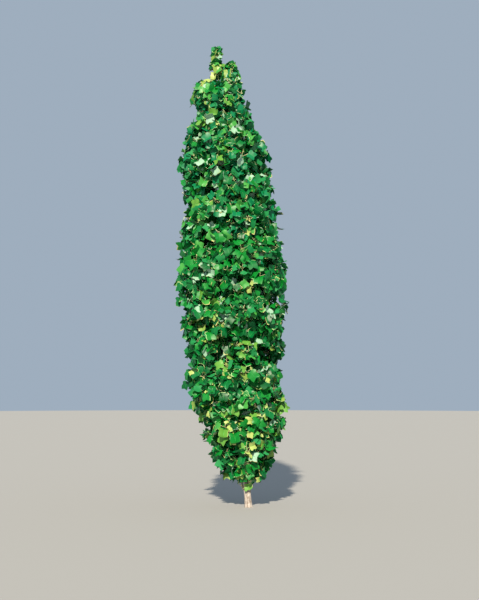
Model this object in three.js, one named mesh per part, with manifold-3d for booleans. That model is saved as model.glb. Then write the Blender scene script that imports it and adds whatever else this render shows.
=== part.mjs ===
// A columnar tulip tree in full leaf: a leaning trunk with a root flare, steep boughs,
// and the masses of foliage that the boughs and the leader carry.
// Millimetres, +Z up. The origin is the centre of the trunk's flat cut at ground level.
import * as THREE from "three";
import { mergeVertices } from "three/addons/utils/BufferGeometryUtils.js";
import Module from "manifold-3d";

const wasm = await Module();
wasm.setup();

// Height, lean and crown, in millimetres
const treeHeight = 6500;
const topLean = 455; // how far the tip stands to the left of the foot
const crownBow = 15; // how far the middle of the crown bows to the left as well
const crownFoot = 205; // height of the lowest leaves
const crownWidest = 3250; // height of the widest place
const crownRadius = 840;

// Trunk and boughs
const trunkRadius = 47;
const trunkTop = 5950; // where the trunk passes into the leading shoot
const trunkTopRadius = 9;
const flareRadius = 17; // added at the ground, and gone a hand's breadth up
const flareHeight = 60;
const flareRidges = 5;
const boughShare = 0.45; // of the trunk's radius where a bough leaves it
const boughTaper = 0.5; // a bough's tip against its root
const boughRise = 330; // a bough leaves the trunk this far below the foot of its mass

// Foliage
const stemTipRadius = 4;
const twigRadius = 9;
const twigTipRadius = 7;
const twigsPerMass = 6;
const leavesOnCore = 12;
const twigMargin = 0.45; // of a leaf, left between a twig and the limit of its space
const twigSpread = 220; // degrees that the twigs of a mass fan out over, away from the trunk
const sprayLeaf = 345; // blade of one leaf, which stands for a spray of them
const leafThickness = 6;
const coreShare = 0.6; // reach of a mass's core against the reach of its leaves

// Clearances
const jointGap = 0.3;
const limbClearance = 6;
const spaceMargin = 4;

// The masses that boughs carry climb round the trunk in a spiral, as leaves climb round a shoot,
// and stand further apart where the crown is slender. How far out and how big they are is
// against the crown's reach at their height.
const massSpacing = 190; // rise from one mass to the next at the crown's widest
const lowestMass = 470;
const highestMass = 5600;
const firstBearing = 160;
const goldenTurn = -137.5; // the spiral climbs clockwise, seen from above
const massOut = 0.52;
const massGirth = 0.62;
const massHalf = 700;
const footDrop = 430; // from a mass's middle to its bough's tip, at most
const lowestFoot = 290;
const lowestRoot = 150;
const limbZone = 0.27; // share of the crown's reach that is left to the trunk and boughs
const footShare = 0.32; // how far out a bough's tip stands, against the crown's reach
// The masses on the leader: the left shoulder, the second tip and the leading shoot.
const leaders = [
  { name: "left_shoulder", middle: 5740, half: 330, bearing: 195, out: 190, girth: 190 },
  { name: "second_tip", middle: 5800, half: 480, bearing: 345, out: 190, girth: 200 },
  { name: "leading_shoot", middle: 6215, half: 300, bearing: 90, out: 0, girth: 120 },
];
const leaderFoot = 300; // a side stem of the leader leaves it this far below its mass's middle
const spaceAspect = 2.1; // a mass's space is this much taller than it is wide
const goldenShare = 0.618; // successive shares of a turn that never line up

const up = new THREE.Vector3(0, 0, 1);
const down = new THREE.Vector3(0, 0, -1);

// Numbers from 0 to 1 that are the same in every run.
function seededNumbers(seed) {
  let state = seed >>> 0;
  return () => {
    state = (Math.imul(state, 1664525) + 1013904223) >>> 0;
    return state / 4294967296;
  };
}

// The point of the crown's own axis at a height.
function crownAxis(z) {
  const share = z / treeHeight;
  return new THREE.Vector3(-topLean * share - crownBow * Math.sin(Math.PI * share), 0, z);
}

// The crown's mean radius at a height: full and blunt below, drawn out to a point above.
function crownReach(z) {
  if (z < crownWidest) {
    const below = Math.min(1, (crownWidest - z) / (crownWidest - crownFoot));
    return crownRadius * Math.pow(1 - below ** 3, 0.6);
  }
  const above = Math.min(1, (z - crownWidest) / (treeHeight - crownWidest));
  return crownRadius * Math.pow(1 - above ** 2, 0.85);
}

function polar(bearing, distance) {
  const turn = (bearing * Math.PI) / 180;
  return new THREE.Vector3(distance * Math.cos(turn), distance * Math.sin(turn), 0);
}

// The masses on boughs: the middle of each one's space, and its girth and half height.
function massesOnBoughs() {
  const found = [];
  let height = lowestMass;
  while (height < highestMass) {
    const reach = crownReach(height);
    const outward = polar(firstBearing + goldenTurn * found.length, 1);
    found.push({
      name: String(found.length + 1).padStart(2, "0"),
      middle: crownAxis(height).addScaledVector(outward, massOut * reach),
      outward,
      girth: massGirth * reach,
      half: massHalf,
      bough: true,
    });
    height += massSpacing * Math.sqrt(crownRadius / reach);
  }
  return found;
}

function massesOnLeader() {
  return leaders.map(({ name, middle, half, bearing, out, girth }) => {
    const outward = polar(bearing, 1);
    return {
      name,
      middle: crownAxis(middle).addScaledVector(outward, out),
      outward,
      girth,
      half,
      out,
      bough: false,
    };
  });
}

const masses = [...massesOnBoughs(), ...massesOnLeader()];

// The flat walls between a mass's space and those of its neighbours.
function wallsOf(mass) {
  const squash = (p) => new THREE.Vector3(p.x, p.y, p.z / spaceAspect);
  const mine = squash(mass.middle);
  return masses
    .filter((other) => other !== mass)
    .map((other) => {
      const theirs = squash(other.middle);
      const weight = mass.girth ** 2 - other.girth ** 2;
      const offset = (theirs.lengthSq() - mine.lengthSq() + weight) / 2;
      const normal = theirs.sub(mine);
      normal.z /= spaceAspect;
      const length = normal.length();
      return { normal: normal.divideScalar(length), offset: offset / length };
    });
}

// True if a point lies in a mass's own space, up to the neighbours' walls. On a bough the space
// ends at the crown's surface and leaves the middle to the trunk and boughs, and on the leader
// it is a rounded column.
function isInSpace(mass, point) {
  const axis = crownAxis(point.z);
  const rise = Math.abs(point.z - mass.middle.z) / mass.half;
  if (mass.bough) {
    const share = Math.hypot(point.x - axis.x, point.y - axis.y) / crownReach(point.z);
    if (share > 1 || share < limbZone || rise > 1) return false;
  } else {
    const lean = crownAxis(mass.middle.z).sub(axis);
    const across = point.clone().sub(mass.middle).add(lean).setZ(0).length() / mass.girth;
    if (across ** 2 + rise ** 2.4 > 1) return false;
  }
  return mass.walls.every((w) => w.offset - w.normal.dot(point) > spaceMargin);
}

// How far a mass's space reaches from a point in a direction.
function reachFrom(mass, start, direction) {
  const step = 8;
  const probe = start.clone();
  let distance = 0;
  while (distance < 2 * mass.half) {
    probe.addScaledVector(direction, step);
    if (!isInSpace(mass, probe)) break;
    distance += step;
  }
  return distance;
}

// Where a mass's stem begins: at its bough's tip low in its space, or inside the leader.
function footOf(mass) {
  if (mass.out === 0) return crownAxis(trunkTop);
  if (!mass.bough) return crownAxis(mass.middle.z - leaderFoot);
  const drop = Math.min(footDrop, 0.8 * reachFrom(mass, mass.middle, down));
  const height = Math.max(mass.middle.z - drop, lowestFoot);
  return crownAxis(height).addScaledVector(mass.outward, footShare * crownReach(height));
}

masses.forEach((mass) => {
  mass.walls = wallsOf(mass);
  mass.leaf = sprayLeaf * Math.min(1, mass.girth / 300);
  mass.foot = footOf(mass);
});

// Turns a closed geometry into a solid.
function solidOf(geometry) {
  const bare = geometry.clone();
  bare.deleteAttribute("normal");
  bare.deleteAttribute("uv");
  const merged = mergeVertices(bare, 1e-3);
  return new wasm.Manifold(
    new wasm.Mesh({
      numProp: 3,
      vertProperties: merged.attributes.position.array,
      triVerts: new Uint32Array(merged.index.array),
    }),
  );
}

// A tapering limb along a curve: an extruded round whose rings are set square to the curve.
function limb(curve, radiusAt, sides, steps) {
  const corners = Array.from({ length: sides }, (_, i) => {
    const turn = (2 * Math.PI * i) / sides;
    return new THREE.Vector2(Math.cos(turn), Math.sin(turn));
  });
  const round = new THREE.Shape(corners);
  const geometry = new THREE.ExtrudeGeometry(round, { depth: 1, steps, bevelEnabled: false });
  const position = geometry.attributes.position;
  for (let i = 0; i < position.count; i++) {
    const along = position.getZ(i);
    const angle = Math.atan2(position.getY(i), position.getX(i));
    const ahead = curve.getTangent(along);
    const side = new THREE.Vector3(0, 1, 0).cross(ahead).normalize();
    const front = ahead.clone().cross(side);
    const place = curve.getPoint(along);
    place.addScaledVector(side, radiusAt(along, angle) * Math.cos(angle));
    place.addScaledVector(front, radiusAt(along, angle) * Math.sin(angle));
    position.setXYZ(i, place.x, place.y, place.z);
  }
  return solidOf(geometry);
}

// The trunk follows the crown's axis, and its foot is level, so that its cut is flat.
class TrunkLine extends THREE.Curve {
  getPoint(t, target = new THREE.Vector3()) {
    return target.copy(crownAxis(t * t * (1.6 - 0.6 * t) * trunkTop));
  }

  getTangent(t, target = new THREE.Vector3()) {
    const here = this.getPoint(t).z;
    const leaning = crownAxis(here + 10).sub(crownAxis(here)).normalize();
    const settled = Math.min(1, here / flareHeight);
    return target.copy(up).lerp(leaning, settled).normalize();
  }
}

function trunkRadiusAt(z) {
  const taper = Math.pow(1 - Math.min(1, z / trunkTop), 0.85);
  return trunkTopRadius + (trunkRadius - trunkTopRadius) * taper;
}

function makeTrunk(extra) {
  const line = new TrunkLine();
  const radiusAt = (t, angle) => {
    const z = line.getPoint(t).z;
    const flare = flareRadius * Math.exp(-z / flareHeight);
    const ridge = 0.25 * Math.cos(flareRidges * angle);
    return trunkRadiusAt(z) + flare * (1 + ridge) + extra;
  };
  return limb(line, radiusAt, 12, 14);
}

// A bough leaves the trunk at a wide angle, bends and climbs to the foot of its mass.
function boughLine(mass) {
  const root = crownAxis(Math.max(mass.foot.z - boughRise, lowestRoot));
  const bend = root.clone().lerp(mass.foot, 0.45);
  bend.lerp(mass.foot.clone().setZ(bend.z), 0.4);
  return new THREE.QuadraticBezierCurve3(root, bend, mass.foot);
}

function boughRadius(mass) {
  return boughShare * trunkRadiusAt(boughLine(mass).getPoint(0).z);
}

function makeBough(mass, extra) {
  const radius = boughRadius(mass);
  const radiusAt = (t) => {
    const collar = 0.4 * radius * Math.exp(-t * 7);
    return THREE.MathUtils.lerp(radius, boughTaper * radius, t) + collar + extra;
  };
  return limb(boughLine(mass), radiusAt, 5, 3);
}

// The direction in which the stem of a mass sets off: as its bough or the trunk ends, or for a
// mass on the side of the leader, out and up.
function stemStart(mass) {
  if (mass.bough) return boughLine(mass).getTangent(1);
  if (mass.out > 0) return mass.outward.clone().multiplyScalar(0.6).add(up).normalize();
  return new TrunkLine().getTangent(1);
}

// The stem goes on from its bough or the trunk and climbs through the mass to its top.
function stemLine(mass) {
  const ahead = stemStart(mass);
  const foot = mass.foot.clone().addScaledVector(ahead, jointGap);
  const topHeight = mass.middle.z + 0.9 * reachFrom(mass, mass.middle, up);
  const top = mass.middle.clone().add(crownAxis(topHeight)).sub(crownAxis(mass.middle.z));
  const bend = foot.clone().addScaledVector(ahead, 0.45 * (topHeight - foot.z));
  return new THREE.QuadraticBezierCurve3(foot, bend, top);
}

// Twigs stand out from the stem by turns, rise outward and leave room for a leaf at the end.
function twigsOf(mass, index) {
  const random = seededNumbers(7919 * (index + 1));
  const stem = stemLine(mass);
  const twigs = [];
  for (let i = 0; i < twigsPerMass; i++) {
    const along = 0.1 + (0.88 * (i + 0.5)) / twigsPerMass;
    const fan = ((i + index) * goldenShare) % 1;
    const turn = THREE.MathUtils.degToRad(twigSpread * (fan - 0.5) + 20 * (random() - 0.5));
    const rise = -0.5 + 0.4 * random() + 1.6 * along;
    const start = stem.getPoint(along);
    const direction = mass.outward.clone().applyAxisAngle(up, turn).setZ(rise).normalize();
    const reach = reachFrom(mass, start, direction);
    const length = Math.max(reach - twigMargin * mass.leaf, 0.5 * reach);
    if (length > 50) twigs.push({ start, direction, length });
  }
  return twigs;
}

function makeStem(mass, extra) {
  const radius = mass.bough ? boughTaper * boughRadius(mass) : trunkTopRadius;
  const taper = (t) => THREE.MathUtils.lerp(radius, stemTipRadius, t) + extra;
  return limb(stemLine(mass), taper, 4, 2);
}

function makeTwig(twig) {
  const tip = twig.start.clone().addScaledVector(twig.direction, twig.length);
  const line = new THREE.LineCurve3(twig.start, tip);
  return limb(line, (t) => THREE.MathUtils.lerp(twigRadius, twigTipRadius, t), 3, 1);
}

// A leaf blade with the broad base and cut-off tip of a tulip tree, laid out in shares of its
// length: [to the side, along, drooping].
const leafOutline = [
  [0, 0, 0],
  [0.5, 0.4, 0.06],
  [0.34, 0.97, 0.1],
  [-0.34, 0.97, 0.1],
  [-0.5, 0.4, 0.06],
];

function leafGeometry(base, ahead, facing, length) {
  const side = ahead.clone().cross(facing).normalize();
  const normal = side.clone().cross(ahead).normalize();
  const place = (across, along, above) =>
    base
      .clone()
      .addScaledVector(side, across * length)
      .addScaledVector(ahead, along * length)
      .addScaledVector(normal, above);
  const rim = leafOutline.map(([across, along, droop]) => place(across, along, -droop * length));
  const front = place(0, 0.4, leafThickness / 2);
  const back = place(0, 0.4, -leafThickness / 2);
  const index = [];
  rim.forEach((_, i) => {
    const next = (i + 1) % rim.length;
    index.push(i, next, rim.length, next, i, rim.length + 1);
  });
  const geometry = new THREE.BufferGeometry().setFromPoints([...rim, front, back]);
  return geometry.setIndex(index);
}

// Where the leaves of a twig sit, as shares of its length, and how each swings to the side from
// hanging straight down, in radians. One with no room swings on, and then is made smaller.
const leafSeats = [
  { along: 0.97, swing: 0.3 },
  { along: 0.85, swing: 1.7 },
  { along: 0.7, swing: -1.7 },
];
const leafTurns = [0, 0.6, -0.6, 1.2, -1.2];
const leafSizes = [1, 0.8, 0.62];

// The places that a leaf may take at a seat, the best first, with its face turned to the light.
function leafPlaces(mass, seat, random) {
  const sideways = up.clone().cross(seat.outward);
  const sway = (random() - 0.5) * 0.6;
  const lift = seat.lift + 0.4 * random();
  const facing = seat.outward.clone().addScaledVector(up, 0.3 + 0.5 * random());
  return leafSizes.flatMap((size) =>
    leafTurns.map((turn) => {
      const swing = seat.swing + sway + turn;
      const ahead = sideways.clone().multiplyScalar(Math.sin(swing));
      ahead.addScaledVector(up, -Math.cos(swing)).addScaledVector(seat.outward, lift);
      return leafGeometry(seat.base, ahead.normalize(), facing, size * mass.leaf);
    }),
  );
}

function seatsOnTwig(twig) {
  const outward = twig.direction.clone().setZ(0).normalize();
  return leafSeats.map(({ along, swing }) => {
    const base = twig.start.clone().addScaledVector(twig.direction, twig.length * along);
    return { base, outward, swing, lift: 0.15 };
  });
}

// Seats inside the core's skin, spread over the side that looks out of the crown.
function seatsOnCore(mass, index) {
  const middle = stemLine(mass).getPoint(0.5);
  return Array.from({ length: leavesOnCore }, (_, i) => {
    const fan = ((i + index) * goldenShare) % 1;
    const turn = THREE.MathUtils.degToRad(twigSpread * (fan - 0.5));
    const outward = mass.outward.clone().applyAxisAngle(up, turn);
    const rise = spaceAspect * THREE.MathUtils.lerp(-0.9, 0.9, (i + 0.5) / leavesOnCore);
    const direction = outward.clone().setZ(rise).normalize();
    const depth = 0.72 * coreShare * reachFrom(mass, middle, direction);
    return {
      base: middle.clone().addScaledVector(direction, depth),
      outward,
      swing: 0,
      lift: 0.5,
    };
  });
}

function fitsSpace(mass, geometry) {
  const position = geometry.attributes.position;
  const corner = new THREE.Vector3();
  for (let i = 0; i < position.count; i++) {
    if (!isInSpace(mass, corner.fromBufferAttribute(position, i))) return false;
  }
  return true;
}

// The dense middle of a mass: a rounded lump that its leaves stand out of.
function makeCore(mass) {
  const geometry = new THREE.IcosahedronGeometry(1, 0);
  const position = geometry.attributes.position;
  const middle = stemLine(mass).getPoint(0.5);
  const direction = new THREE.Vector3();
  for (let i = 0; i < position.count; i++) {
    direction.fromBufferAttribute(position, i);
    direction.z *= spaceAspect;
    direction.normalize();
    const reach = coreShare * reachFrom(mass, middle, direction);
    const place = middle.clone().addScaledVector(direction, reach);
    position.setXYZ(i, place.x, place.y, place.z);
  }
  return solidOf(geometry);
}

const trunkGap = makeTrunk(jointGap);
const trunkAndBoughs = wasm.Manifold.union([
  makeTrunk(limbClearance),
  ...masses.filter((mass) => mass.bough).map((mass) => makeBough(mass, limbClearance)),
]);

// The trunk, the boughs and the leader's other stems, with a clearance round each.
function limbsBeside(mass) {
  const stems = masses.filter((other) => !other.bough && other !== mass);
  const grown = stems.map((other) => makeStem(other, limbClearance));
  return wasm.Manifold.union([trunkAndBoughs, ...grown]);
}

// Keeps the largest piece, so that loose scraps are dropped and sealed hollows are filled.
function largestPiece(solid) {
  const pieces = solid.decompose();
  return pieces.reduce((a, b) => (b.volume() > a.volume() ? b : a));
}

// Stem, twigs and leaves, and the core of a mass on a bough. A twig that would touch a limb is
// left out, and so is a leaf that would touch anything but what carries it.
function makeMass(mass, index) {
  const random = seededNumbers(104729 * (index + 1));
  const apart = (one, other) => one.intersect(other).volume() < 1;
  const stem = makeStem(mass, 0).subtract(trunkGap);
  const limbsGrown = limbsBeside(mass);
  const carriers = twigsOf(mass, index)
    .map((twig) => ({ solid: makeTwig(twig), seats: seatsOnTwig(twig) }))
    .filter((carrier) => apart(carrier.solid, limbsGrown));
  if (mass.bough) {
    carriers.push({ solid: makeCore(mass).subtract(limbsGrown), seats: seatsOnCore(mass, index) });
  }
  const leaves = [];
  carriers.forEach((own) => {
    const others = carriers.filter((carrier) => carrier !== own).map((carrier) => carrier.solid);
    own.seats.forEach((seat) => {
      const leaf = leafPlaces(mass, seat, random)
        .filter((place) => fitsSpace(mass, place))
        .map(solidOf)
        .find((place) =>
          [limbsGrown, stem, ...others, ...leaves].every((other) => apart(place, other)),
        );
      if (leaf) leaves.push(leaf);
    });
  });
  const wood = carriers.map((carrier) => carrier.solid);
  return largestPiece(wasm.Manifold.union([stem, ...wood, ...leaves]));
}

function geometryOf(solid) {
  const mesh = solid.getMesh();
  const geometry = new THREE.BufferGeometry();
  geometry.setAttribute("position", new THREE.BufferAttribute(mesh.vertProperties, 3));
  geometry.setIndex(new THREE.BufferAttribute(mesh.triVerts, 1));
  geometry.computeVertexNormals();
  return geometry;
}

const bark = new THREE.MeshStandardMaterial({ color: "#b3a592", roughness: 0.9, metalness: 0 });
const foliage = new THREE.MeshStandardMaterial({ color: "#2f7d3c", roughness: 0.55, metalness: 0 });

const tree = new THREE.Group();

function addNode(name, solid, material) {
  const mesh = new THREE.Mesh(geometryOf(solid), material);
  mesh.name = name;
  tree.add(mesh);
}

addNode("trunk", makeTrunk(0), bark);
masses.forEach((mass, index) => {
  if (mass.bough) {
    addNode(`bough_${mass.name}`, largestPiece(makeBough(mass, 0).subtract(trunkGap)), bark);
  }
  addNode(`foliage_${mass.name}`, makeMass(mass, index), foliage);
});

export default tree;
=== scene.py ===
# Columnar tulip tree: bark, twigs, leaf stalks and leaves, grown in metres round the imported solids.
import math

import bpy
import numpy as np
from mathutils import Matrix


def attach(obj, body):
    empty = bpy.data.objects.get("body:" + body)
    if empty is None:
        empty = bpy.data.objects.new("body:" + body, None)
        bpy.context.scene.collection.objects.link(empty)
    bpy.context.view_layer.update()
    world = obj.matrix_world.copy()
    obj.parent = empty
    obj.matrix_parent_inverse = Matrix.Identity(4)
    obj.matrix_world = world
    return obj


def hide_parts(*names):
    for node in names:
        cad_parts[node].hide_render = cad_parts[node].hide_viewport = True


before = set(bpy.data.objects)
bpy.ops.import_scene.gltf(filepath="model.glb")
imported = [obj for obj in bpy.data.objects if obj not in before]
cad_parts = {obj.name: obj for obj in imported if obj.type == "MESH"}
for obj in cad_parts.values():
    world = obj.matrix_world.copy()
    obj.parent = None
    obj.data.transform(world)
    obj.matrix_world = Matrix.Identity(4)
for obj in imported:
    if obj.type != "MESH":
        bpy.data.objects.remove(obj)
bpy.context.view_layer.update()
scene = bpy.context.scene
print("frame loaded:", len(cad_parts), "nodes")

up = np.array([0.0, 0.0, 1.0])
tiny = 1e-6  # keeps a division from failing
goldenShare = 0.618  # successive shares of a turn that never line up
goldenAngle = math.radians(137.5)  # from one leaf on a shoot to the next


# View, light and floor

view = {
    "eye": (-0.123, -13.0, 1.6),  # eye height, 13 m from the trunk
    "pitch": 5.46,  # degrees above level
    "focalPixels": 935.5,  # for the photograph's 600 pixels of height
    "longSide": 600,
    "sensor": 36.0,
    "farEnd": 200,  # metres that the camera sees
}

lighting = {
    "sunTurn": -6,  # degrees from the camera's side, towards the left
    "sunHeight": 36,
    "sunStrength": 6.1,
    "sunSpread": 2.0,  # degrees across, for soft edges
    "sunColour": "#fff1da",
    "skyColour": "#c9dcf0",
    "skyStrength": 0.59,
}


def linear(hexColour):
    # sRGB hex to the linear values that Blender works in
    values = [int(hexColour[i : i + 2], 16) / 255 for i in (1, 3, 5)]
    return [v / 12.92 if v <= 0.04045 else ((v + 0.055) / 1.055) ** 2.4 for v in values]


def addObject(name, data):
    made = bpy.data.objects.new(name, data)
    scene.collection.objects.link(made)
    return made


def makeCamera():
    camera = addObject("camera", bpy.data.cameras.new("camera"))
    camera.data.sensor_width = view["sensor"]
    camera.data.lens = view["focalPixels"] / view["longSide"] * view["sensor"]
    camera.data.clip_end = view["farEnd"]
    camera.location = view["eye"]
    camera.rotation_euler = (math.radians(90 + view["pitch"]), 0, 0)
    scene.camera = camera


def makeLights():
    sun = addObject("sun", bpy.data.lights.new("sun", "SUN"))
    sun.data.energy = lighting["sunStrength"]
    sun.data.angle = math.radians(lighting["sunSpread"])
    sun.data.color = linear(lighting["sunColour"])
    tilt = math.radians(90 - lighting["sunHeight"])
    sun.rotation_euler = (tilt, 0, math.radians(lighting["sunTurn"]))
    world = bpy.data.worlds.new("softSky")
    world.use_nodes = True
    background = world.node_tree.nodes["Background"]
    background.inputs["Color"].default_value = (*linear(lighting["skyColour"]), 1)
    background.inputs["Strength"].default_value = lighting["skyStrength"]
    scene.world = world


scene.view_settings.view_transform = "Standard"
makeCamera()
makeLights()
print("camera and lights placed")


# Materials

mixColourA, mixColourB, mixedColour = 6, 7, 2  # a Mix node's sockets for colours


def setNode(tree, node, settings=None, links=None):
    # a node's settings and fixed inputs, and what is plugged into it
    for name, value in (settings or {}).items():
        if hasattr(node, name):
            setattr(node, name, value)
        else:
            node.inputs[name].default_value = value
    for name, source in (links or {}).items():
        tree.links.new(source, node.inputs[name])
    return node


def addNode(tree, kind, settings=None, links=None):
    return setNode(tree, tree.nodes.new("ShaderNode" + kind), settings, links)


def startMaterial(name):
    material = bpy.data.materials.new(name)
    material.use_nodes = True
    tree = material.node_tree
    return material, tree, tree.nodes["Principled BSDF"]


def ramp(tree, factor, stops):
    # a colour ramp from (place, hex colour) pairs
    node = addNode(tree, "ValToRGB", None, {"Fac": factor})
    elements = node.color_ramp.elements
    while len(elements) < len(stops):
        elements.new(0.5)
    for element, (place, colour) in zip(elements, stops):
        element.position = place
        element.color = (*linear(colour), 1)
    return node.outputs["Color"]


def leafMaterial(name, colour, roughness, gloss=0.3):
    # A living leaf: waxy skin over soft tissue, a satin gloss broken up by the quilting between veins.
    # Its colour is plain, as the variety comes from leaf to leaf.
    quilting = 9  # mm between the side veins that raise the skin
    material, tree, surface = startMaterial(name)
    place = addNode(tree, "TexCoord").outputs["Object"]
    fine = {"Scale": 1000 / quilting, "Detail": 1}
    veins = addNode(tree, "TexNoise", fine, {"Vector": place})
    raised = {"Strength": 0.3, "Distance": 0.001}
    bump = addNode(tree, "Bump", raised, {"Height": veins.outputs["Fac"]})
    skin = {"Base Color": (*linear(colour), 1), "Roughness": roughness, "Specular IOR Level": gloss}
    setNode(tree, surface, skin, {"Normal": bump.outputs["Normal"]})
    return material


def smoothBark(name, colour, shade):
    # Bark of green shoots and brown twigs: smooth, pale and a little waxy.
    reach = 140  # mm over which the colour changes
    material, tree, surface = startMaterial(name)
    place = addNode(tree, "TexCoord").outputs["Object"]
    drift = addNode(tree, "TexNoise", {"Scale": 1000 / reach, "Detail": 2}, {"Vector": place})
    colours = ramp(tree, drift.outputs["Fac"], [(0.35, shade), (0.65, colour)])
    setNode(tree, surface, {"Roughness": 0.5}, {"Base Color": colours})
    return material


def barkMaterial(name):
    # Young tulip tree bark: pale grey-tan cork with shallow upright furrows and small lenticels.
    furrow = 14  # mm between furrows
    lengthen = 0.16  # furrows run about six times as far up as they are apart
    lenticel = 22  # mm between lenticels
    squash = 2.5  # lenticels are this much wider than high
    blotch = 50  # mm across lichen and weather stains
    stainDepth = 0.8
    material, tree, surface = startMaterial(name)
    place = addNode(tree, "TexCoord").outputs["Object"]
    drawn = addNode(tree, "Mapping", {"Scale": (1, 1, lengthen)}, {"Vector": place})
    rough = {"Scale": 1000 / furrow, "Detail": 5, "Roughness": 0.6}
    furrows = addNode(tree, "TexNoise", rough, {"Vector": drawn.outputs["Vector"]})
    stains = addNode(tree, "TexNoise", {"Scale": 1000 / blotch, "Detail": 3}, {"Vector": place})
    squat = addNode(tree, "Mapping", {"Scale": (1, 1, squash)}, {"Vector": place})
    spread = {"Scale": 1000 / lenticel}
    cells = addNode(tree, "TexVoronoi", spread, {"Vector": squat.outputs["Vector"]})
    cork = ramp(tree, furrows.outputs["Fac"], [(0.32, "#938a82"), (0.5, "#beb4ab"), (0.68, "#d8d0ca")])
    weather = ramp(tree, stains.outputs["Fac"], [(0.4, "#b8ada3"), (0.6, "#ffffff")])
    darkened = {"data_type": "RGBA", "blend_type": "MULTIPLY", "Factor": stainDepth}
    stained = addNode(tree, "Mix", darkened, {mixColourA: cork, mixColourB: weather})
    dots = ramp(tree, cells.outputs["Distance"], [(0.1, "#ffffff"), (0.16, "#000000")])
    under = {"Factor": dots, mixColourA: stained.outputs[mixedColour]}
    dotted = addNode(tree, "Mix", {"data_type": "RGBA"}, under)
    dotted.inputs[mixColourB].default_value = (*linear("#d9cbb6"), 1)
    raised = {"Strength": 0.5, "Distance": 0.003}
    bump = addNode(tree, "Bump", raised, {"Height": furrows.outputs["Fac"]})
    seen = {"Base Color": dotted.outputs[mixedColour], "Normal": bump.outputs["Normal"]}
    setNode(tree, surface, {"Roughness": 0.85, "Specular IOR Level": 0.3}, seen)
    return material


def floorMaterial(name):
    # Matt studio paper, on which the shadow lies softly.
    material, tree, surface = startMaterial(name)
    setNode(tree, surface, {"Base Color": (*linear("#a4a4a2"), 1), "Roughness": 0.9})
    return material


# shaded and bright are partly the leaves' own tones, partly painted shade and painted sun on whole sprays
leafTones = {
    "shaded": "#005425",
    "deep": "#00682f",
    # painted sky light: a bluer green for deep and middle leaves high up, as if in blue shade
    "cool": "#007445",
    "middle": "#067a29",
    "bright": "#3f953f",
    "fresh": "#5f993c",
    "olive": "#7f9f48",
    "young": "#a3b765",
}
leafMaterials = [
    leafMaterial(f"leaf_{tone}", colour, roughness=0.42, gloss=0.36)
    for tone, colour in leafTones.items()
]
# painted shade and light through the leaf: most undersides are a deeper green than a real pale underside
undersideMaterial = leafMaterial("leaf_underside", "#24864b", roughness=0.55, gloss=0.2)
bloomMaterial = leafMaterial("leaf_underside_with_bloom", "#95bda3", roughness=0.6, gloss=0.2)
ribMaterial = leafMaterial("leaf_rib", "#2f9646", roughness=0.45, gloss=0.2)
# partly the blade's paler edge, partly a painted highlight of a thin rim lit by the sun
paleMargin = leafMaterial("leaf_margin_pale", "#accf8c", roughness=0.45)
goldMargin = leafMaterial("leaf_margin_turning_gold", "#cdc680", roughness=0.5)
stalkGreen = leafMaterial("leaf_stalk", "#dcdea8", roughness=0.4)
shootMaterial = smoothBark("green_shoot", "#d2d19c", "#aaad72")
twigMaterial = smoothBark("twig_bark", "#a69a7c", "#82765c")
trunkMaterial = barkMaterial("trunk_bark")


# Meshes from arrays

def makePiece(name, points, faces, materials, faceMaterials=None, sharpAngle=None):
    mesh = bpy.data.meshes.new(name)
    mesh.vertices.add(len(points))
    mesh.vertices.foreach_set("co", np.asarray(points, np.float32).ravel())
    mesh.loops.add(faces.size)
    mesh.loops.foreach_set("vertex_index", faces.astype(np.int32).ravel())
    mesh.polygons.add(len(faces))
    mesh.polygons.foreach_set("loop_start", np.arange(0, faces.size, 3, dtype=np.int32))
    for material in materials:
        mesh.materials.append(material)
    if faceMaterials is not None:
        mesh.polygons.foreach_set("material_index", faceMaterials.astype(np.int32))
    mesh.update(calc_edges=True)
    mesh.shade_smooth()
    if sharpAngle:
        mesh.set_sharp_from_angle(angle=math.radians(sharpAngle))
    return addObject(name, mesh)


def unit(vectors):
    return vectors / np.linalg.norm(vectors, axis=-1, keepdims=True)


def copies(faces, count, size):
    # the same faces for each of several runs of points
    starts = (np.arange(count) * size)[:, None, None]
    return (faces[None] + starts).reshape(-1, 3)


def tubes(paths, radii, sides, facing):
    # closed tubes along many paths at once: paths (n, k, 3), radii (n, k), facing (n, 3)
    count, rings = paths.shape[:2]
    ahead = unit(np.gradient(paths, axis=1))
    side = unit(np.cross(ahead, facing[:, None]))
    front = np.cross(side, ahead)
    turn = 2 * np.pi * np.arange(sides) / sides
    around = side[:, :, None] * np.cos(turn)[:, None] + front[:, :, None] * np.sin(turn)[:, None]
    points = paths[:, :, None] + around * radii[:, :, None, None]
    faces = []
    for ring in range(rings - 1):
        for i in range(sides):
            a, b = ring * sides + i, ring * sides + (i + 1) % sides
            faces += [(a, a + sides, b), (b, a + sides, b + sides)]
    last = (rings - 1) * sides
    for i in range(1, sides - 1):
        faces += [(0, i, i + 1), (last, last + i + 1, last + i)]
    return points.reshape(-1, 3), copies(np.array(faces), count, rings * sides)


def bezier(start, bend, end, t):
    t = np.asarray(t, float)[..., None]
    return (1 - t) ** 2 * start + 2 * t * (1 - t) * bend + t**2 * end


def joined(parts):
    # several (points, faces) as one
    points = np.concatenate([p for p, _ in parts])
    starts = np.cumsum([0] + [len(p) for p, _ in parts[:-1]])
    faces = np.concatenate([f + s for (_, f), s in zip(parts, starts)])
    return points, faces


# The tree's own rule, as in the part's source but in metres, and with a slimmer root flare

crown = {
    "height": 6.5,
    "lean": 0.455,  # how far the tip stands to the left of the foot
    "bow": 0.015,  # and the middle besides
    "foot": 0.205,
    "widest": 3.25,
    "radius": 0.84,
    "footRound": (3, 0.6),  # powers: blunt below, drawn out above
    "tipRound": (2, 0.85),
}

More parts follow.
